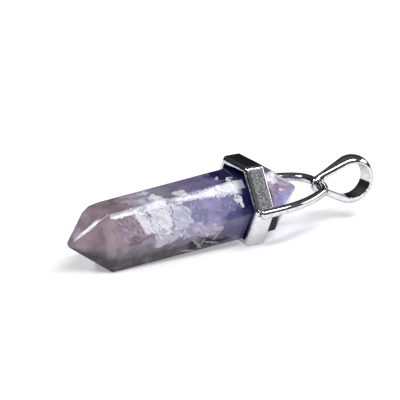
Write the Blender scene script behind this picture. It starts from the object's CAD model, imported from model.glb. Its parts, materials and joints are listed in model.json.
import json
from collections import namedtuple
from math import acos, asin, atan, atan2, cos, pi, radians, sin, sqrt, tan

import bmesh
import bpy
from mathutils import Matrix, Vector


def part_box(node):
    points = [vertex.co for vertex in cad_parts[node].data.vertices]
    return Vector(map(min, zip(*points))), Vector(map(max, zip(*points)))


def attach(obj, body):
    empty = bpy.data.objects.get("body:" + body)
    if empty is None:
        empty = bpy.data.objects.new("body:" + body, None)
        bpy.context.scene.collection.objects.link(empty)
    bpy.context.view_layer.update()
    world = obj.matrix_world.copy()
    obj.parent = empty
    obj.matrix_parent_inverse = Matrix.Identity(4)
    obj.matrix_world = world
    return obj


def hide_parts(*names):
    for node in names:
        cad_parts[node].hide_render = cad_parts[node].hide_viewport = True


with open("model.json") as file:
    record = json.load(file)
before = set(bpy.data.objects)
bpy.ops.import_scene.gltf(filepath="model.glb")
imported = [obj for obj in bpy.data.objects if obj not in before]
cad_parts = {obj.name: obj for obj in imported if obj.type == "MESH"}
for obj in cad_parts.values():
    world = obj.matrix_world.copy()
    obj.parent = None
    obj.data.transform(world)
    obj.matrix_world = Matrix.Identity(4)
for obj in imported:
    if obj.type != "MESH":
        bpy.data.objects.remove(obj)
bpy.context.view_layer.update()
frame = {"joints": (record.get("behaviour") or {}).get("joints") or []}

# Fluorite point pendant, lying on a pale table: the stone, the hexagonal collar with its soldered
# wire arch, and the bail that swings on the arch's cross bar. Sizes are in millimetres, and each
# piece is brought to metres when it is put in the scene.
MM = 0.001

setting_low, setting_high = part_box("setting")
# The collar's stone side, and the height of its centre line above the table
collar_x = setting_low.x / MM
axis_z = setting_high.z / MM / 2
hinge = Vector(frame["joints"][0]["pos_m"]) / MM

sides = 6
# A corner of a hexagon lies this much further out than its flats
corner_out = 1 / cos(radians(30))

# Stone
# Width over the flats at the collar's stone side and by the lower shoulder, and the distance between
# the two places
stone_flats = 7.93
shoulder_flats = 7.62
taper_len = 19
# Both sharp points and the upper shoulder, as distances from the collar's stone side, and how far
# the lower point is off centre
tip_reach = 23.36
tip_offset = 0.3
upper_shoulder = 4.3
apex_reach = 9.02
# How it sits in its glue: turned and skewed, in degrees, and moved down and towards -Y
stone_turn = -2
stone_skew = 1.2
stone_drop = 0.18
stone_shift = 0.1
# The hand-ground shoulder's distance from the collar at each edge, from the one facing -Y round
# over the top, and the edge on which the shoulder rests
shoulder_reach = [17.85, 18.35, 19.35, 19.2, 18.8, 18.45]
rest_edge = 5
# Radius that tumbling left on every edge, and on the two points
edge_round = 0.34
tip_round = 0.6
apex_round = 0.5
# Rounding of the solid stone's edges, which its lean is worked out from
solid_round = 0.25
# Slope of the points' facets, for setting rounded corners in from sharp ones
facet_slope = radians(42)
# The shoulder's corner at this edge is worn off: how far the wear runs down the point and along the
# shoulder, how far up the stone's edge, and how deep it is in the middle
worn_edge = 2
worn_reach = 0.88
worn_len = 1.6
worn_depth = 0.385
# The extra, narrow facet that runs below the upper front edge: where its lower border lies round
# the stone at the collar and at the shoulder, in degrees, and how far out it lies there
soft_edge = 1
facet_at_collar = 42
facet_at_shoulder = 50
facet_out_at_collar = 0.958
facet_out_at_shoulder = 0.972

# Collar
collar_flats = 10.3
collar_w = 2.55
collar_wall = 0.85
# Rounding of each of its edges, from the one at the back round over the top
collar_rounds = [0.35, 0.3, 0.7, 0.6, 0.5, 0.4]
# The rim on the stone's side is rubbed rounder than the other one
stone_rim_round = 0.62
rim_round = 0.24
bore_round = 0.12
# Rounding that is left at the corners of the opening
bore_corner_round = 0.1

# Arch
wire_r = 0.575
# Its centre line: the legs' distance from the middle, the feet and the cross bar from the collar's
# stone side, half the bar's straight part, and the bends
leg_y = 6.32
foot_x = 0.85
bar_x = 11.83
bar_half = 1
tight_bend_r = 3.62
long_bend_turn = radians(36)
# It rises from the middle of the collar's width
arch_rise = radians(2.5)
rise_x = collar_w / 2
# Each foot is a little thicker than the wire, over this length
foot_swell = 0.07
foot_len = 2.4
wire_sides = 28

# Solder seams: the radius of their free side, how deep they are sunk in the collar and the wire, how
# far out their hidden corner lies, how far they stop short of the collar's two sides, and the share
# of their radius that is left at their ends
solder_r = 0.25
solder_sunk = 0.12
solder_hidden_y = 5.75
solder_start = 0.3
solder_stop = 0.12
solder_at_ends = 0.35

# Bail
# The way for the chain: radius of its round end, how far that lies from the hinge, and how far past
# the hinge its straight walls would meet
way_r = 2.27
way_reach = 4.62
way_apex = 0.6
# Width and thickness at its outer end and at the eye
bail_w = 2.5
eye_w = 1.15
bail_thick = 0.9
eye_thick = 0.53
# Rounding of its inner edges
bail_lip = 0.1
bail_droop = radians(1)
# The eye is this much looser than the cross bar
eye_gap = 0.065
eye_r = wire_r + eye_gap

# Table
table_half = 700
table_thick = 10


# Putting pieces in the scene


def put(name, bm, place, material, body, slot, *nodes):
    """Puts a closed mesh drawn in millimetres in the scene, at its place and on its body."""
    bmesh.ops.recalc_face_normals(bm, faces=bm.faces)
    bmesh.ops.transform(bm, matrix=Matrix.Scale(MM, 4) @ place, verts=bm.verts)
    mesh = bpy.data.meshes.new(name)
    bm.to_mesh(mesh)
    bm.free()
    mesh.shade_smooth()
    mesh.materials.append(material)
    piece = bpy.data.objects.new(name, mesh)
    bpy.context.scene.collection.objects.link(piece)
    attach(piece, body)
    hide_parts(*nodes)
    return piece


def even_shading(piece):
    """Keeps flats flat between their rounded edges."""
    modifier = piece.modifiers.new("even_shading", "WEIGHTED_NORMAL")
    modifier.keep_sharp = True
    modifier.weight = 100


def loft(bm, rings, joined=False):
    """Skins rings of equally many points. A joined loft's last ring meets its first, and any other
    loft has a flat face at each end."""
    made = [[bm.verts.new(point) for point in ring] for ring in rings]
    pairs = list(zip(made, made[1:]))
    if joined:
        pairs.append((made[-1], made[0]))
    for ring, following in pairs:
        for i in range(len(ring)):
            j = (i + 1) % len(ring)
            bm.faces.new((ring[i], ring[j], following[j], following[i]))
    if not joined:
        bm.faces.new(made[0])
        bm.faces.new(made[-1])


def arc(centre, radius, start, end, steps):
    """Points on a circle from one angle to another, both ends included."""
    turn = (end - start) / steps
    return [
        (centre[0] + radius * cos(start + i * turn), centre[1] + radius * sin(start + i * turn))
        for i in range(steps + 1)
    ]


# Stone


def stone_corner(along, around, rounding, out=1.0):
    """Middle of a rounded corner of the stone, at a distance below the collar and an angle round it."""
    flats = stone_flats + (shoulder_flats - stone_flats) * along / taper_len
    radius = (flats / 2 * out - rounding) * corner_out
    return Vector((-along, -radius * cos(radians(around)), radius * sin(radians(around))))


def towards(start, end, distance):
    """Point at a distance from the start, on the way to the end."""
    return start + (end - start).normalized() * distance


def stone_place():
    """How the stone lies in its collar: it leans until its shoulder touches the table."""
    inset = solid_round * tan(facet_slope / 2)
    corner = stone_corner(shoulder_reach[rest_edge] - inset, rest_edge * 60 + stone_turn, solid_round)
    reach = sqrt(corner.x ** 2 + corner.z ** 2)
    lean = asin((axis_z - stone_drop - solid_round) / reach) - atan(corner.z / corner.x)
    turn = Matrix.Rotation(radians(stone_skew), 4, "Z") @ Matrix.Rotation(-lean, 4, "Y")
    return Matrix.Translation((collar_x, -stone_shift, axis_z - stone_drop)) @ turn


def stone_mesh():
    """Ground point with every edge rounded: the skin over a ball in each of its corners."""
    shoulder_inset = edge_round * tan(facet_slope / 2)
    around = [k * 60 + stone_turn for k in range(sides)]
    upper_at = shoulder_inset - upper_shoulder
    upper = [stone_corner(upper_at, angle, edge_round) for angle in around]
    lower = [
        stone_corner(reach - shoulder_inset, angle, edge_round)
        for reach, angle in zip(shoulder_reach, around)
    ]
    lower_tip = Vector((tip_round / sin(facet_slope) - tip_reach, 0, tip_offset))
    apex = Vector((apex_reach - apex_round / sin(facet_slope), 0, 0))
    worn = lower[worn_edge]
    worn_at = shoulder_reach[worn_edge] - shoulder_inset - worn_len
    wear = [
        towards(worn, lower_tip, worn_reach),
        towards(worn, lower[worn_edge - 1], worn_reach),
        towards(worn, lower[worn_edge + 1], worn_reach),
        stone_corner(worn_at, around[worn_edge], edge_round),
        towards(worn, Vector((worn.x / 2, 0, 0)), worn_depth),
    ]
    unworn = [corner for corner in lower if corner is not worn]
    facet_ends = [
        (shoulder_reach[soft_edge] - shoulder_inset, facet_at_shoulder, facet_out_at_shoulder),
        (0, facet_at_collar, facet_out_at_collar),
        (upper_at, facet_at_collar, facet_out_at_collar),
    ]
    narrow_facet = [stone_corner(along, angle, edge_round, out) for along, angle, out in facet_ends]
    balls = [(corner, edge_round) for corner in upper]
    balls += [(lower_tip, tip_round), (apex, apex_round)]
    balls += [(corner, edge_round) for corner in wear + unworn + narrow_facet]

    bm = bmesh.new()
    meridians = 40
    for corner, rounding in balls:
        for i in range(1, meridians // 2):
            height = cos(2 * pi * i / meridians) * rounding
            girth = sin(2 * pi * i / meridians) * rounding
            for angle in range(meridians):
                turn = 2 * pi * angle / meridians
                bm.verts.new(corner + Vector((height, girth * cos(turn), girth * sin(turn))))
    bmesh.ops.convex_hull(bm, input=bm.verts)
    bmesh.ops.delete(bm, geom=[vert for vert in bm.verts if not vert.link_faces], context="VERTS")
    bmesh.ops.dissolve_limit(bm, angle_limit=radians(0.5), verts=bm.verts, edges=bm.edges)
    return bm


# Collar and arch


def hexagon_ring(x, inset):
    """Outline of the collar at x, this much inside its outer face, with rounded corners."""
    points = []
    for k in range(sides):
        radius = max(collar_rounds[k] - inset, bore_corner_round)
        reach = (collar_flats / 2 - inset - radius) * corner_out
        corner = k * pi / 3
        centre = (reach * cos(corner), reach * sin(corner))
        points += arc(centre, radius, corner - pi / 6, corner + pi / 6, 6)
    return [Vector((x, y, z)) for y, z in points]


def collar_mesh():
    bm = bmesh.new()
    profile = arc((stone_rim_round, stone_rim_round), stone_rim_round, pi, 1.5 * pi, 7)
    profile += arc((collar_w - rim_round, rim_round), rim_round, 1.5 * pi, 2 * pi, 5)
    profile += arc((collar_w - bore_round, collar_wall - bore_round), bore_round, 0, pi / 2, 4)
    profile += arc((bore_round, collar_wall - bore_round), bore_round, pi / 2, pi, 4)
    loft(bm, [hexagon_ring(x, inset) for x, inset in profile], joined=True)
    return bm


def arch_line():
    """Centre line of the bent wire from one foot to the other, flat, as (x, y) pairs."""
    tight = (bar_x - tight_bend_r, bar_half)
    long_bend_r = (leg_y - bar_half - tight_bend_r * cos(long_bend_turn)) / (1 - cos(long_bend_turn))
    joint = (tight[0] + tight_bend_r * sin(long_bend_turn), tight[1] + tight_bend_r * cos(long_bend_turn))
    far = (joint[0] - long_bend_r * sin(long_bend_turn), joint[1] - long_bend_r * cos(long_bend_turn))
    half = [(bar_x, 0.0)]
    half += arc(tight, tight_bend_r, 0, pi / 2 - long_bend_turn, 18)
    half += arc(far, long_bend_r, pi / 2 - long_bend_turn, pi / 2, 22)[1:]
    leg_end = half[-1][0]
    half += [(leg_end + (foot_x - leg_end) * i / 5, leg_y) for i in range(1, 6)]
    return [(x, -y) for x, y in reversed(half)] + half[1:]


def wire_ring(point, heading, radius):
    """Ring of the wire's skin round a point, square to the wire's heading."""
    across = Vector((-heading.y, heading.x, 0))
    turns = [2 * pi * i / wire_sides for i in range(wire_sides)]
    return [point + radius * (cos(turn) * across + Vector((0, 0, sin(turn)))) for turn in turns]


def wire_mesh():
    bm = bmesh.new()
    points = [Vector((x, y, 0)) for x, y in arch_line()]
    foot_r = wire_r + foot_swell
    radii = [wire_r + foot_swell * max(0, 1 - (point.x - foot_x) / foot_len) for point in points]
    headings = []
    for i, point in enumerate(points):
        before, after = points[max(i - 1, 0)], points[min(i + 1, len(points) - 1)]
        headings.append((after - before).normalized())
    # A domed foot at each end, in rings that shrink towards it
    dome = [radians(angle) for angle in (88, 75, 60, 45, 30, 15)]
    first, last = headings[0], headings[-1]
    rings = [
        wire_ring(points[0] - first * foot_r * sin(angle), first, foot_r * cos(angle)) for angle in dome
    ]
    rings += [wire_ring(*place) for place in zip(points, headings, radii)]
    rings += [
        wire_ring(points[-1] + last * foot_r * sin(angle), last, foot_r * cos(angle))
        for angle in reversed(dome)
    ]
    loft(bm, rings)
    return bm


def arch_place():
    lift = Matrix.Rotation(-arch_rise, 4, "Y")
    return Matrix.Translation((collar_x + rise_x, 0, axis_z)) @ lift @ Matrix.Translation((-rise_x, 0, 0))


def collar_place():
    return Matrix.Translation((collar_x, 0, axis_z))


def seam_section(radius, wire_z):
    """Section of the solder between a wire leg and the collar face above it, as (y, z) outwards.
    Its free side is an arc that touches both."""
    slope = radians(30)
    normal = Vector((cos(slope), sin(slope)))
    face = collar_flats / 2
    wire = Vector((leg_y, wire_z))
    # The arc's centre lies a radius off the face and a radius off the wire
    off_face = face + radius
    to_wire = wire_r + radius
    along = Vector((-sin(slope), cos(slope)))
    rise = off_face - wire.dot(normal)
    centre = wire + normal * rise + along * sqrt(to_wire ** 2 - rise ** 2)
    on_face = centre - normal * radius
    on_wire = centre + (wire - centre).normalized() * radius
    start = atan2(on_face.y - centre.y, on_face.x - centre.x)
    end = atan2(on_wire.y - centre.y, on_wire.x - centre.x)
    points = arc((centre.x, centre.y), radius, start, end, 6)
    in_collar = on_face - normal * solder_sunk
    in_wire = on_wire + (wire - on_wire).normalized() * solder_sunk
    hidden = (solder_hidden_y, wire_z / 2 + solder_sunk)
    return [(in_collar.x, in_collar.y)] + points + [(in_wire.x, in_wire.y), hidden]


def solder_mesh():
    """Solder along both sides of each leg, running out at the collar's rims."""
    bm = bmesh.new()
    steps = 10
    # Each end keeps its thickness over this share of the length, so that no ring closes up
    even_share = 0.06
    for side in (-1, 1):
        for up in (-1, 1):
            rings = []
            for i in range(steps + 1):
                share = i / steps
                x = solder_start + share * (collar_w - solder_start - solder_stop)
                fullness = sin(pi * min(max(share, even_share), 1 - even_share)) ** 0.5
                swell = solder_at_ends + (1 - solder_at_ends) * fullness
                wire_z = (x - rise_x) * sin(arch_rise) * up
                section = seam_section(solder_r * swell, wire_z)
                rings.append([Vector((x, side * y, up * z)) for y, z in section])
            loft(bm, rings)
    return bm


# Bail


def wrapped(eye_round, far_round, steps):
    """Outline of the bail seen along its hinge, as (x, z) pairs: round the eye and the way's end,
    joined by the straight lines that touch both."""
    turn = acos((eye_round - far_round) / way_reach)
    far = arc((way_reach, 0), far_round, -turn, turn, steps)
    eye = arc((0, 0), eye_round, turn, 2 * pi - turn, steps // 2)
    return far, eye


def way_line(steps):
    """Outline of the way, in as many points: its straight walls run into the eye's hole."""
    turn = acos(-way_r / (way_reach + way_apex))
    far = arc((way_reach, 0), way_r, -turn, turn, steps)
    # Where the straight wall enters the hole round the cross bar
    wall = turn - pi / 2
    into_hole = wall + asin(way_apex * sin(wall) / eye_r)
    eye = arc((0, 0), eye_r, into_hole, 2 * pi - into_hole, steps // 2)
    return far, eye


def with_legs(far, eye):
    """Joins the two rounds of an outline by straight legs, divided evenly."""
    legs = 14
    up = [tuple(a + (b - a) * i / legs for a, b in zip(far[-1], eye[0])) for i in range(1, legs)]
    down = [tuple(a + (b - a) * i / legs for a, b in zip(eye[-1], far[0])) for i in range(1, legs)]
    return far + up + eye + down


def bail_mesh():
    bm = bmesh.new()
    steps = 72
    dome_steps = 24
    outer = with_legs(*wrapped(eye_r + eye_thick, way_r + bail_thick, steps))
    inner = with_legs(*way_line(steps))
    rings = []
    for (ox, oz), (ix, iz) in zip(outer, inner):
        share = min(max(ox / way_reach, 0), 1)
        width = eye_w + (bail_w - eye_w) * share
        out = Vector((ox - ix, 0, oz - iz))
        thick = out.length
        out.normalize()
        foot = Vector((ix, 0, iz))
        half = width / 2
        # A half-round band: a lip with a broken edge beside the way, and a dome over it
        section = arc((half - bail_lip, bail_lip), bail_lip, -pi / 2, 0, 4)
        section += [
            (half * cos(turn), bail_lip + (thick - bail_lip) * sin(turn))
            for turn in (pi * i / dome_steps for i in range(1, dome_steps))
        ]
        section += arc((bail_lip - half, bail_lip), bail_lip, pi, 1.5 * pi, 4)
        rings.append([foot + out * u + Vector((0, v, 0)) for v, u in section])
    loft(bm, rings, joined=True)
    return bm


def bail_place():
    return Matrix.Translation(hinge) @ Matrix.Rotation(bail_droop, 4, "Y")


# Materials


def linear(code):
    """Scene colour of an sRGB hex code."""
    parts = [int(code[i:i + 2], 16) / 255 for i in (1, 3, 5)]
    return [p / 12.92 if p <= 0.04045 else ((p + 0.055) / 1.055) ** 2.4 for p in parts] + [1.0]


def add(tree, kind, inputs=None, stops=None, **settings):
    """Adds a node with its settings. An input is a value, an output to link, or a node whose first
    output in use is linked. Inputs go by name or number: a MapRange takes its value as 0, the range
    it comes in as 1 and 2 and the range it leaves in as 3 and 4, and a Mix its two colours as 6
    and 7."""
    node = tree.nodes.new("ShaderNode" + kind)
    for name, value in settings.items():
        setattr(node, name, value)
    for socket, value in (inputs or {}).items():
        if isinstance(value, bpy.types.Node):
            value = next(output for output in value.outputs if output.enabled)
        if isinstance(value, bpy.types.NodeSocket):
            tree.links.new(value, node.inputs[socket])
        else:
            node.inputs[socket].default_value = value
    if stops:
        ramp = node.color_ramp
        while len(ramp.elements) < len(stops):
            ramp.elements.new(1)
        for element, (position, code) in zip(ramp.elements, stops):
            element.position = position
            element.color = linear(code)
    return node


def new_material(name):
    material = bpy.data.materials.new(name)
    material.use_nodes = True
    tree = material.node_tree
    tree.nodes.clear()
    shader = add(tree, "BsdfPrincipled")
    add(tree, "OutputMaterial", {"Surface": shader})
    return material, tree, shader


def plated_alloy(name, grain_depth, hollow_tint, crest_tint):
    """Zinc alloy, cast or drawn, then plated silver-white: mirror-like and a little darker at a
    slant, with the grain of the mould or the draw left under the plating, of a depth in
    millimetres."""
    material, tree, shader = new_material(name)
    place = add(tree, "TexCoord")
    spot = add(tree, "VectorMath", {0: place.outputs["Object"], "Scale": 1 / MM}, operation="SCALE")
    # Grain of 0.3 mm, coarser than the real one so that it shows, and duller patches of 1.1 mm
    grain = add(tree, "TexNoise", {"Vector": spot, "Scale": 3.3, "Detail": 1.0})
    cloud = add(tree, "TexNoise", {"Vector": spot, "Scale": 0.9, "Detail": 3.0})
    gloss = add(tree, "MapRange", {0: cloud, 1: 0.35, 2: 0.65, 3: 0.06, 4: 0.12})
    tint = add(tree, "ValToRGB", {"Fac": grain}, stops=[(0.36, hollow_tint), (0.62, crest_tint)])
    bump = add(tree, "Bump", {"Height": grain, "Distance": grain_depth * MM, "Strength": 1.0})
    tree.links.new(tint.outputs["Color"], shader.inputs["Base Color"])
    tree.links.new(gloss.outputs["Result"], shader.inputs["Roughness"])
    tree.links.new(bump.outputs["Normal"], shader.inputs["Normal"])
    shader.inputs["Metallic"].default_value = 1.0
    shader.inputs["Specular Tint"].default_value = linear("#b4b4b6")
    return material


# Radius at which distances round the stone are measured on its chart
chart_r = 4.2

# How far flakes and frost stand out of the stone's skin
flake_relief = 0.04

# The crystal's own colours
crystal = {
    "smoke": "#372f36", "dark_smoke": "#272129", "rosy_smoke": "#8f7d86", "rose": "#9a838c",
    "pale_rose": "#a8949b", "mauve": "#97848f", "grey_mauve": "#8a8391", "pale_mauve": "#a39db2",
    "lilac": "#a49dc8", "soft_violet": "#8a86b2", "slate_violet": "#746c92", "violet": "#5f5a8c",
    "deep_violet": "#3e356c", "dusk": "#4a4460", "navy": "#15163a", "ink": "#0d0d20",
    "pink_lilac": "#b79fc0", "blue_lilac": "#8a86c4", "plum": "#56495a",
}

# Colour zones on three sides of the stone, as distance below the collar and colour
top_zones = [
    (21, "rosy_smoke"), (15, "rosy_smoke"), (12.5, "pale_mauve"), (10, "grey_mauve"), (6, "slate_violet"),
    (3.6, "slate_violet"), (2.6, "deep_violet"), (1.2, "navy"), (-2, "navy"), (-3, "plum"), (-8.9, "plum"),
]
upper_zones = [
    (22, "mauve"), (19.6, "rose"), (18.7, "pale_rose"), (17.6, "mauve"), (12, "pale_mauve"), (5.5, "lilac"),
    (3, "soft_violet"), (1.5, "violet"), (0.8, "ink"), (-2, "ink"), (-3, "pink_lilac"), (-8.9, "pink_lilac"),
]
lower_zones = [
    (22.5, "dark_smoke"), (20, "smoke"), (18.2, "smoke"), (15, "dark_smoke"), (12, "dark_smoke"),
    (9, "smoke"), (5, "dark_smoke"), (2.5, "dusk"), (0.6, "deep_violet"), (-0.2, "ink"), (-4.2, "ink"),
    (-5.4, "blue_lilac"), (-8.9, "blue_lilac"),
]

# Patches of the crystal: where each lies below the collar in millimetres and round the stone in
# degrees (0 faces -Y, 90 up), its half lengths the same two ways, and its turn in degrees
Patch = namedtuple("Patch", "name along around half_along half_around turn")

white_flakes = [
    Patch("ribbon_neck", 14.6, 49, 1.0, 6.5, 0),
    Patch("main_plate", 12.05, 37, 1.5, 22, 0),
    Patch("main_plate_foot", 12.2, 11, 1.3, 8, 18),
    Patch("plate_over_the_edge", 11.3, 73, 0.75, 15, 0),
    Patch("fleck_by_collar", 1.45, 30, 0.65, 9, -16),
    Patch("fleck_foot", 1.1, 19, 0.3, 7, -10),
    Patch("fleck_above_band", 1.5, 67, 1.0, 4, -46),
    Patch("glint_flake", 2.5, 84, 0.6, 2.5, -46),
    Patch("upper_point_flake", -3.8, 48, 0.7, 8, 0),
]
pinkish_flakes = [
    Patch("ribbon_bend", 14.1, 28, 0.72, 19, -14),
    Patch("square_step", 8.75, 67.5, 0.5, 9.5, 12),
    Patch("square_step_right", 8.05, 65.5, 0.5, 9.5, 12),
]
grey_flakes = [
    Patch("plates_over_the_edge", 12.6, 70, 1.1, 16, 8),
    Patch("sheet_right", 9.35, 23, 1.35, 17, 0),
    Patch("sheet_right_top", 9.7, 38, 0.75, 8, 0),
    Patch("sheet_right_foot", 9.9, 2, 1.0, 8, -24),
    Patch("veil_line", 13.8, 105, 1.3, 2.5, 21),
    Patch("veil_top", 11.9, 104, 0.75, 7, 0),
    Patch("veil_ridge", 12.6, 121, 2.6, 2.5, 0),
]
rosy_foot = [
    Patch("foot", 12.0, -7, 1.55, 14, 0),
]
soft_veils = [
    Patch("veil_low", 8.2, -6, 1.2, 11, -10),
    Patch("veil_low_middle", 6.7, -14, 1.1, 13, 14),
    Patch("veil_low_right", 5.0, -18, 1.0, 9, 34),
    Patch("veil_step", 14.4, 80, 0.9, 18, 0),
    Patch("veil_on_tip", 21.7, 76, 0.55, 13, 14),
]
flake_gaps = [
    Patch("ribbon_gap", 13.45, 44, 0.12, 11, 0),
    Patch("plate_gap", 10.45, 45, 0.1, 11, -5),
    Patch("plate_gap_low", 10.7, 21, 0.08, 13, 20),
    Patch("edge_gap", 10.15, 53, 0.35, 9, 0),
    Patch("gap_over_the_edge", 12.55, 76, 0.1, 9, 0),
    Patch("slash_on_band", 3.4, 50, 0.07, 5, -38),
    Patch("slash_by_collar", 1.7, 57, 0.12, 6, -42),
]
pits = [
    Patch("pit_in_veil", 7.5, 0, 0.1, 2, 0),
    Patch("pit_by_slate", 7.35, -16, 0.1, 2, 0),
    Patch("pit_by_foot", 10.8, -1, 0.12, 2, 0),
    Patch("pit_below_foot", 10.2, -10, 0.16, 2, 30),
    Patch("pit_at_foot", 11.4, -18, 0.1, 2, 0),
]
woolly_patches = [
    Patch("woolly", 16.2, 26, 1.9, 19, 0),
]
blue_grey_patches = [
    Patch("blue_grey_by_sheet", 8.1, 40, 1.1, 5, -8),
    Patch("blue_grey_below_sheet", 6.9, 19, 1.1, 11, 0),
    Patch("blue_grey_by_collar", 2.9, 20, 1.2, 12, 20),
    Patch("blue_grey_in_point", -4.2, 24, 0.45, 16, 0),
    Patch("blue_grey_spot", 4.1, 16.5, 0.45, 6, 0),
    Patch("blue_grey_speck", 6.0, 6, 0.4, 5, 0),
    Patch("blue_step", 2.8, 31, 0.6, 6, 0),
]
violet_bands = [
    Patch("violet_front", 1.9, -12, 2.3, 22, 0),
]
dark_inclusions = [
    Patch("slate_left", 7.8, -45, 0.5, 13, -19),
    Patch("slate_right", 5.3, -46, 1.35, 8, 18),
    Patch("slate_by_collar", 3.4, -50, 0.9, 5, 0),
]
inky_skin = [
    Patch("ink_below_arm", -3.2, -44, 1.0, 24, 0),
]
pale_needles = [
    Patch("needle_left", 7.28, -42, 1.27, 1.4, 55),
    Patch("needle_back", 6.55, -46, 0.75, 1.4, -66),
    Patch("needle_right", 4.43, -30, 1.17, 1.3, -66),
    Patch("needle_low", 5.13, -49.5, 1.2, 1.4, 22),
    Patch("needle_at_edge", 8.3, -56, 0.95, 1.5, 14),
]
rusty_veins = [
    Patch("vein_by_sheet", 15.4, 4, 1.9, 3.5, 0),
    Patch("vein_on_top", 16.2, 102, 0.5, 14, 20),
    Patch("vein_in_upper_point", -5.2, 34, 1.1, 9, 10),
]
blue_patches = [
    Patch("blue_foot", -5.6, 8, 2.6, 12, 0),
]
navy_skin = [
    Patch("navy_top", 1.1, 92, 1.5, 25, 0),
    Patch("navy_seat", -1.2, 20, 1.9, 110, 0),
]
ridge_bruises = [
    Patch("bruise", 20.9, 58.5, 1.5, 5.5, -11),
    Patch("ribbon_start", 16.7, 50, 1.4, 3, 0),
    Patch("point_ridge", -5.9, 52, 2.1, 3, 0),
]
rosy_hazes = [
    Patch("haze_on_tip", 21.9, 84, 0.5, 26, 0),
    Patch("haze_on_top_shoulder", 20.2, 98, 0.4, 22, 0),
    Patch("haze_on_shoulder", 18.9, 10, 0.45, 36, 0),
]


def zone_stops(zones):
    """Stops of a colour ramp that runs from the stone's tip to its upper point."""
    length = tip_reach + apex_reach
    return [((tip_reach - below) / length, crystal[tone]) for below, tone in zones]


def patch_mask(tree, chart, patches, softness):
    """1 inside the patches of a list, falling to 0 over their borders. It is plain vector maths,
    because a Mapping node for each patch would fill the renderer's memory for one shader."""
    nearest = None
    for patch in patches:
        centre = Vector((patch.along, radians(patch.around) * chart_r, 0))
        turn = radians(patch.turn)
        lengthwise = Vector((cos(turn), sin(turn), 0)) / patch.half_along
        crosswise = Vector((-sin(turn), cos(turn), 0)) / (radians(patch.half_around) * chart_r)
        off = add(tree, "VectorMath", {0: chart, 1: centre}, name=patch.name, operation="SUBTRACT")
        along = add(tree, "VectorMath", {0: off, 1: lengthwise}, operation="DOT_PRODUCT")
        across = add(tree, "VectorMath", {0: off, 1: crosswise}, operation="DOT_PRODUCT")
        local = add(tree, "CombineXYZ", {"X": along, "Y": across})
        # Squaring both ways first makes the border a rounded square instead of an ellipse
        squared = add(tree, "VectorMath", {0: local, 1: local}, operation="MULTIPLY")
        reach = add(tree, "VectorMath", {0: squared}, operation="LENGTH")
        if nearest:
            reach = add(tree, "Math", {0: nearest, 1: reach}, operation="MINIMUM")
        nearest = reach
    return add(
        tree, "MapRange", {0: nearest, 1: 1 - softness, 2: 1 + softness, 3: 1.0, 4: 0.0},
        interpolation_type="SMOOTHSTEP",
    )


def shifted(tree, chart, texture, reach):
    """Moves the places on a chart by a texture's colour, up to half of the reach each way."""
    moved = add(
        tree, "VectorMath", {0: texture.outputs["Color"], 1: (reach, reach, 0), 2: chart},
        operation="MULTIPLY_ADD",
    )
    return add(tree, "VectorMath", {0: moved, 1: (-reach / 2, -reach / 2, 0)}, operation="ADD")


def stone_chart(tree):
    """The stone's own place in millimetres, and its chart: distance below the collar, and round it."""
    lie = stone_place()
    place = add(tree, "TexCoord")
    spot = add(
        tree, "Mapping",
        {
            "Vector": place.outputs["Object"], "Location": lie.translation * MM,
            "Rotation": lie.to_euler(), "Scale": (MM, MM, MM),
        },
        vector_type="TEXTURE",
    )
    where = add(tree, "SeparateXYZ", {0: spot})
    along = add(tree, "Math", {0: where.outputs["X"], 1: -1.0}, operation="MULTIPLY")
    front = add(tree, "Math", {0: where.outputs["Y"], 1: -1.0}, operation="MULTIPLY")
    around = add(tree, "Math", {0: where.outputs["Z"], 1: front}, operation="ARCTAN2")
    round_it = add(tree, "Math", {0: around, 1: chart_r}, operation="MULTIPLY")
    chart = add(tree, "CombineXYZ", {"X": along, "Y": round_it})
    return spot, along, around, chart


def crystal_zones(tree, chart):
    """Colour bands along the stone, different on its top, its upper front and its lower front."""
    charted = add(tree, "SeparateXYZ", {0: chart})
    share = add(tree, "MapRange", {0: charted.outputs["X"], 1: tip_reach, 2: -apex_reach})
    colour = add(tree, "ValToRGB", {"Fac": share}, stops=zone_stops(lower_zones))
    # Each list takes over from the last between two angles round the stone, in degrees
    for zones, low, high in ((upper_zones, -40, 8), (top_zones, 50, 64)):
        above = add(
            tree, "MapRange",
            {0: charted.outputs["Y"], 1: radians(low) * chart_r, 2: radians(high) * chart_r},
        )
        band = add(tree, "ValToRGB", {"Fac": share}, stops=zone_stops(zones))
        colour = add(tree, "Mix", {"Factor": above, 6: colour, 7: band}, data_type="RGBA")
    return colour


def ground_frost(tree, along, around, speck):
    """Where the soft edge and the narrow facet below it are still frosted from grinding, with a torn
    border: wide at the collar, and down to where the flakes begin."""
    frost_end = 9.9
    # Its lower and upper borders, as angles round the stone that change with the distance below the
    # collar
    low = add(tree, "MapRange", {0: along, 1: 0.0, 2: frost_end, 3: radians(33), 4: radians(49.5)})
    top = add(tree, "MapRange", {0: along, 1: 1.5, 2: 6.3, 3: radians(62), 4: radians(55.5)})
    from_low = add(tree, "Math", {0: around, 1: low}, operation="SUBTRACT")
    from_top = add(tree, "Math", {0: top, 1: around}, operation="SUBTRACT")
    inside = add(tree, "Math", {0: from_low, 1: from_top}, operation="MINIMUM")
    torn = add(tree, "Math", {0: speck, 1: 0.3, 2: inside}, operation="MULTIPLY_ADD")
    frost = add(tree, "MapRange", {0: torn, 1: 0.13, 2: 0.2})
    for near, full in ((0.5, 1.6), (frost_end, frost_end - 0.5)):
        faded = add(tree, "MapRange", {0: along, 1: near, 2: full})
        frost = add(tree, "Math", {0: frost, 1: faded}, operation="MULTIPLY")
    return frost


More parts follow.
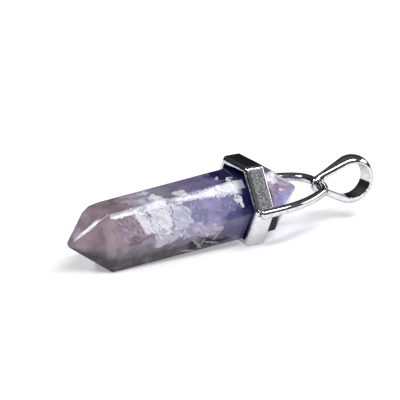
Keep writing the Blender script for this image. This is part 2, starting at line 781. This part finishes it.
def laid_over(tree, colour, layers):
    """Lays tones over a colour one after the other, each by its mask and strength."""
    for mask, strength, tone in layers:
        share = add(tree, "Math", {0: mask, 1: strength}, operation="MULTIPLY")
        colour = add(tree, "Mix", {"Factor": share, 6: colour, 7: tone}, data_type="RGBA")
    return colour


def fluorite():
    """Banded fluorite, ground to a point, tumbled and polished: a glassy skin over violet and rosy
    zones, with cleavage flakes that catch the light as broken white steps."""
    material, tree, shader = new_material("banded_fluorite")
    spot, along, around, flat_chart = stone_chart(tree)

    # Borders: cells of 0.7 mm shift whole bits of a border, like steps in the cleavage, and noise of
    # 1.4 mm and less frays them
    step = add(tree, "TexVoronoi", {"Vector": spot, "Scale": 1.5})
    fray = add(tree, "TexNoise", {"Vector": spot, "Scale": 0.7, "Detail": 4.0, "Roughness": 0.55})
    soft_chart = shifted(tree, flat_chart, fray, 2.2)
    chart = shifted(tree, soft_chart, step, 0.5)
    crisp_chart = shifted(tree, flat_chart, step, 0.2)
    colour = crystal_zones(tree, soft_chart)

    # Clouds of 2 mm, threads across the stone, 0.4 mm wide, and specks of 0.3 mm
    cloud = add(tree, "TexNoise", {"Vector": spot, "Scale": 0.55, "Detail": 2.5, "Roughness": 0.5})
    dark_cloud = add(tree, "MapRange", {0: cloud, 1: 0.6, 2: 0.3})
    pale_cloud = add(tree, "MapRange", {0: cloud, 1: 0.5, 2: 0.75})
    slant = {"Vector": spot, "Rotation": (0.0, 0.5, 0.9), "Scale": (2.4, 0.7, 2.4)}
    slanted = add(tree, "Mapping", slant)
    threads = add(
        tree, "TexNoise",
        {"Vector": slanted, "Scale": 1.0, "Detail": 5.0, "Roughness": 0.65, "Distortion": 1.0},
    )
    thread = add(tree, "MapRange", {0: threads, 1: 0.52, 2: 0.7})
    speck = add(tree, "TexNoise", {"Vector": spot, "Scale": 3.2, "Detail": 3.0, "Roughness": 0.65})
    dotted = add(tree, "MapRange", {0: speck, 1: 0.56, 2: 0.66})
    pitted = add(tree, "MapRange", {0: speck, 1: 0.42, 2: 0.34})
    near_collar = add(tree, "MapRange", {0: along, 1: 9.0, 2: 2.0})
    upwards = add(tree, "MapRange", {0: around, 1: radians(-30), 2: radians(10)})
    down_again = add(tree, "MapRange", {0: around, 1: radians(150), 2: radians(120)})
    lit_side = add(tree, "Math", {0: upwards, 1: down_again}, operation="MULTIPLY")
    speckled = add(tree, "Math", {0: near_collar, 1: lit_side}, operation="MULTIPLY")
    dots = add(tree, "Math", {0: dotted, 1: speckled}, operation="MULTIPLY")
    dark_dots = add(tree, "Math", {0: pitted, 1: speckled}, operation="MULTIPLY")
    torn_chart = shifted(tree, flat_chart, speck, 0.7)

    # Hairs: the lines where a stretched noise passes its middle value
    curl = {"Vector": spot, "Rotation": (0.0, 0.4, 0.5), "Scale": (1.9, 0.8, 0.8)}
    curled = add(tree, "Mapping", curl)
    curls = add(tree, "TexNoise", {"Vector": curled, "Scale": 1.0, "Detail": 2.0, "Distortion": 1.5})
    from_middle = add(tree, "Math", {0: curls, 1: 0.5}, operation="SUBTRACT")
    off_line = add(tree, "Math", {0: from_middle}, operation="ABSOLUTE")
    hair = add(tree, "MapRange", {0: off_line, 1: 0.06, 2: 0.01})
    on_point = add(tree, "MapRange", {0: along, 1: -2.4, 2: -3.4})
    point_hair = add(tree, "Math", {0: hair, 1: on_point}, operation="MULTIPLY")

    # Shades inside the flakes: plates of 1.5 by 3.8 mm in different tones, thin cracks between them,
    # and combed streaks. The woolly patch has finer strands
    tilt = {"Vector": chart, "Rotation": (0, 0, radians(-12)), "Scale": (1.5, 3.8, 1)}
    plates = add(tree, "Mapping", tilt, vector_type="TEXTURE")
    plate = add(tree, "TexVoronoi", {"Vector": plates, "Scale": 1.0})
    plate_tone = add(tree, "SeparateXYZ", {0: plate.outputs["Color"]})
    crack = add(tree, "TexVoronoi", {"Vector": plates, "Scale": 1.0}, feature="DISTANCE_TO_EDGE")
    cracked = add(tree, "MapRange", {0: crack, 1: 0.05, 2: 0.01})
    comb = {"Vector": soft_chart, "Rotation": (0, 0, radians(44)), "Scale": (2.2, 0.45, 1)}
    combed = add(tree, "Mapping", comb, vector_type="TEXTURE")
    streaks = add(tree, "TexNoise", {"Vector": combed, "Scale": 1.0, "Detail": 4.0, "Roughness": 0.6})
    streak = add(tree, "MapRange", {0: streaks, 1: 0.38, 2: 0.62})
    shade = add(tree, "MapRange", {0: streaks, 1: 0.5, 2: 0.3})
    wool = {"Vector": soft_chart, "Rotation": (0, 0, radians(72)), "Scale": (0.75, 0.2, 1)}
    woolly = add(tree, "Mapping", wool, vector_type="TEXTURE")
    strands = add(tree, "TexNoise", {"Vector": woolly, "Scale": 1.0, "Detail": 3.0, "Distortion": 0.6})
    strand = add(tree, "MapRange", {0: strands, 1: 0.42, 2: 0.66})

    tones = {}
    for name, share, below, above in (
        ("veil", streak, "#8f87a6", "#d2cadf"),
        ("grey", streak, "#a6a8c0", "#d9dae6"),
        ("foot", thread, "#b9b0c0", "#dcd4de"),
        ("plate", plate_tone, "#d2d0de", "#fbfbff"),
        ("pinkish", streak, "#ccc5d1", "#efecf3"),
        ("wool", strand, "#7f707b", "#b0a3b3"),
        ("blue_grey", dotted, "#77789a", "#b3b5cc"),
        ("frost", streak, "#cbd0e0", "#fbfbff"),
        ("bruise", streak, "#d9d5de", "#ffffff"),
        ("slate", thread, "#12141d", "#4a4e66"),
    ):
        tones[name] = add(
            tree, "Mix", {"Factor": share, 6: linear(below), 7: linear(above)}, data_type="RGBA",
        )
    broken_white = laid_over(
        tree, tones["plate"],
        [
            (shade, 0.45, linear("#918eaa")),
            (cracked, 0.55, linear("#696680")),
            (pitted, 0.5, linear("#7d7890")),
        ],
    )

    slate = patch_mask(tree, crisp_chart, dark_inclusions, 0.2)
    ink = patch_mask(tree, crisp_chart, inky_skin, 0.3)
    white = patch_mask(tree, chart, white_flakes, 0.1)
    frost = ground_frost(tree, along, around, speck)
    colour = laid_over(
        tree, colour,
        [
            (dark_cloud, 0.35, linear("#2e2636")),
            (pale_cloud, 0.3, linear("#a493a0")),
            (patch_mask(tree, flat_chart, rosy_hazes, 0.9), 0.35, linear("#b8aab2")),
            (thread, 0.15, linear("#a397ad")),
            (dots, 0.45, linear("#a6a6d0")),
            (dark_dots, 0.5, linear("#2f2c58")),
            (patch_mask(tree, soft_chart, navy_skin, 0.3), 0.9, linear("#151845")),
            (patch_mask(tree, soft_chart, violet_bands, 0.3), 0.6, linear("#3d3564")),
            (patch_mask(tree, chart, blue_grey_patches, 0.3), 0.8, tones["blue_grey"]),
            (patch_mask(tree, soft_chart, woolly_patches, 0.5), 0.8, tones["wool"]),
            (slate, 0.92, tones["slate"]),
            (patch_mask(tree, chart, rusty_veins, 0.6), 0.45, linear("#5f4652")),
            (patch_mask(tree, chart, blue_patches, 0.5), 0.55, linear("#8f95d8")),
            (point_hair, 0.3, linear("#e3d4ea")),
            (ink, 0.95, linear("#0a0b1a")),
            (patch_mask(tree, chart, soft_veils, 0.4), 0.65, tones["veil"]),
            (patch_mask(tree, crisp_chart, pale_needles, 0.4), 0.75, linear("#a5a6b4")),
            (patch_mask(tree, chart, grey_flakes, 0.16), 0.85, tones["grey"]),
            (patch_mask(tree, soft_chart, rosy_foot, 0.35), 0.85, tones["foot"]),
            (patch_mask(tree, crisp_chart, pinkish_flakes, 0.2), 0.95, tones["pinkish"]),
            (white, 1.0, broken_white),
            (frost, 0.9, tones["frost"]),
            (patch_mask(tree, chart, flake_gaps, 0.4), 0.85, linear("#5d566c")),
            (patch_mask(tree, chart, pits, 0.4), 0.8, linear("#4c3d4c")),
            (patch_mask(tree, torn_chart, ridge_bruises, 0.4), 0.92, tones["bruise"]),
        ],
    )

    # Skin: glassy, a little dull where flakes or frost reach it, and matt where the dark inclusions
    # open onto it as pits and where the ink by the collar was never polished
    dull = add(tree, "Math", {0: white, 1: frost}, operation="MAXIMUM")
    polished = add(tree, "MapRange", {0: dull, 3: 0.08, 4: 0.22})
    unpolished = add(tree, "Math", {0: slate, 1: ink}, operation="MAXIMUM")
    rough = add(tree, "MapRange", {0: unpolished, 3: polished, 4: 0.75})
    relief = add(tree, "Math", {0: plate_tone, 1: 0.6, 2: speck}, operation="MULTIPLY_ADD")
    height = add(tree, "Math", {0: relief, 1: dull}, operation="MULTIPLY")
    bump = add(tree, "Bump", {"Height": height, "Distance": flake_relief * MM, "Strength": 1.0})
    tree.links.new(colour.outputs[2], shader.inputs["Base Color"])
    tree.links.new(rough.outputs["Result"], shader.inputs["Roughness"])
    tree.links.new(bump.outputs["Normal"], shader.inputs["Normal"])
    # Fluorite bends light less than glass does
    shader.inputs["IOR"].default_value = 1.434
    return material


def table_top():
    """Matt white laminate: pale and without a shine, in a faint mottle of 25 mm."""
    material, tree, shader = new_material("white_laminate")
    place = add(tree, "TexCoord")
    mottle = add(tree, "TexNoise", {"Vector": place.outputs["Object"], "Scale": 40.0})
    tone = add(tree, "ValToRGB", {"Fac": mottle}, stops=[(0.4, "#f4f4f5"), (0.6, "#f8f8f9")])
    tree.links.new(tone.outputs["Color"], shader.inputs["Base Color"])
    tree.links.new(tone.outputs["Color"], shader.inputs["Emission Color"])
    shader.inputs["Emission Strength"].default_value = 0.38
    shader.inputs["Roughness"].default_value = 0.9
    return material


# Pieces

# Only the collar shows the mould's grain. The wire, the solder and the polished bail are smoother
cast_alloy = plated_alloy("plated_zinc_casting", 0.036, "#cfcfd1", "#dcdcde")
wire_alloy = plated_alloy("plated_wire", 0.006, "#c8c8ca", "#e0e0e2")
spar = fluorite()

point = put("fluorite_point", stone_mesh(), stone_place(), spar, "pendant", "fluorite", "stone")
collar = put(
    "hexagon_collar", collar_mesh(), collar_place(), cast_alloy, "pendant", "plated_alloy", "setting",
)
put("wire_arch", wire_mesh(), arch_place(), wire_alloy, "pendant", "plated_alloy", "setting")
put("solder_seams", solder_mesh(), collar_place(), wire_alloy, "pendant", "plated_alloy", "setting")
bail = put("chain_bail", bail_mesh(), bail_place(), wire_alloy, "bail", "plated_alloy", "bail")
for piece in (point, collar, bail):
    even_shading(piece)


# Table, light and camera


def stage_table():
    bm = bmesh.new()
    corners = [(-table_half, -table_half), (table_half, -table_half)]
    corners += [(table_half, table_half), (-table_half, table_half)]
    loft(bm, [[(x, y, z) for x, y in corners] for z in (-table_thick, 0)])
    bmesh.ops.scale(bm, vec=(MM, MM, MM), verts=bm.verts)
    bmesh.ops.recalc_face_normals(bm, faces=bm.faces)
    mesh = bpy.data.meshes.new("table")
    bm.to_mesh(mesh)
    bm.free()
    mesh.materials.append(table_top())
    table = bpy.data.objects.new("table", mesh)
    bpy.context.scene.collection.objects.link(table)


def soft_light(name, direction, distance, width, length, power):
    """Soft box that faces the pendant from a direction. Distances are in metres, power in watts."""
    light = bpy.data.lights.new(name, "AREA")
    light.shape = "RECTANGLE"
    light.size = width
    light.size_y = length
    light.energy = power
    lamp = bpy.data.objects.new(name, light)
    facing = Vector(direction).normalized()
    lamp.location = facing * distance
    lamp.rotation_mode = "QUATERNION"
    lamp.rotation_quaternion = facing.to_track_quat("Z", "Y")
    bpy.context.scene.collection.objects.link(lamp)


def studio_walls():
    """Light tent: dark cloth at the back, paler cloth overhead and in front, which gives the metal
    its contrast."""
    world = bpy.data.worlds.new("light_tent")
    bpy.context.scene.world = world
    world.use_nodes = True
    tree = world.node_tree
    tree.nodes.clear()
    place = add(tree, "TexCoord")
    way = add(tree, "SeparateXYZ", {0: place.outputs["Generated"]})
    back = add(
        tree, "ValToRGB", {"Fac": way.outputs["Z"]},
        stops=[(0.0, "#28282a"), (0.34, "#303032"), (0.56, "#4a4a4e"), (1.0, "#5c5c60")],
    )
    front = add(
        tree, "ValToRGB", {"Fac": way.outputs["Z"]},
        stops=[(0.0, "#2c2c2e"), (0.25, "#3c3c3f"), (0.5, "#6c6c70"), (1.0, "#5c5c60")],
    )
    share = add(tree, "MapRange", {0: way.outputs["Y"], 1: 0.1, 2: -0.4})
    cloth = add(tree, "Mix", {"Factor": share, 6: back, 7: front}, data_type="RGBA")
    glow = add(tree, "Background", {"Color": cloth, "Strength": 1.0})
    add(tree, "OutputWorld", {"Surface": glow})


def camera():
    """Long lens at the photograph's angle. The aim is a point on the pendant's middle plane."""
    azimuth = radians(-27.147)
    elevation = radians(18.265)
    roll = radians(-1.58)
    aim = Vector((collar_x - 4.771, 0, 6.177))
    distance = 257.61
    back = Vector((sin(azimuth) * cos(elevation), -cos(azimuth) * cos(elevation), sin(elevation)))
    right = Vector((0, 0, 1)).cross(back).normalized()
    up = back.cross(right)
    turned_right = cos(roll) * right + sin(roll) * up
    turned_up = cos(roll) * up - sin(roll) * right
    data = bpy.data.cameras.new("camera")
    data.lens = 187.99
    data.sensor_width = 36
    data.clip_start = 0.01
    data.clip_end = 10
    seen_from = bpy.data.objects.new("camera", data)
    turn = Matrix((turned_right, turned_up, back)).transposed().to_4x4()
    seen_from.matrix_world = Matrix.Translation((aim + back * distance) * MM) @ turn
    bpy.context.scene.collection.objects.link(seen_from)
    bpy.context.scene.camera = seen_from


stage_table()
studio_walls()
soft_light("key_strip", (0.1, -0.5, 0.86), 0.5, 0.5, 0.12, 1.8)
soft_light("front_card", (0.43, -0.69, 0.58), 0.56, 0.09, 0.09, 0.0105)
soft_light("left_strip", (-0.66, 0.12, 0.74), 0.5, 0.2, 0.08, 0.75)
soft_light("right_card", (0.9, -0.15, 0.38), 0.5, 0.4, 0.14, 0.75)
camera()
bpy.context.scene.view_settings.view_transform = "Standard"
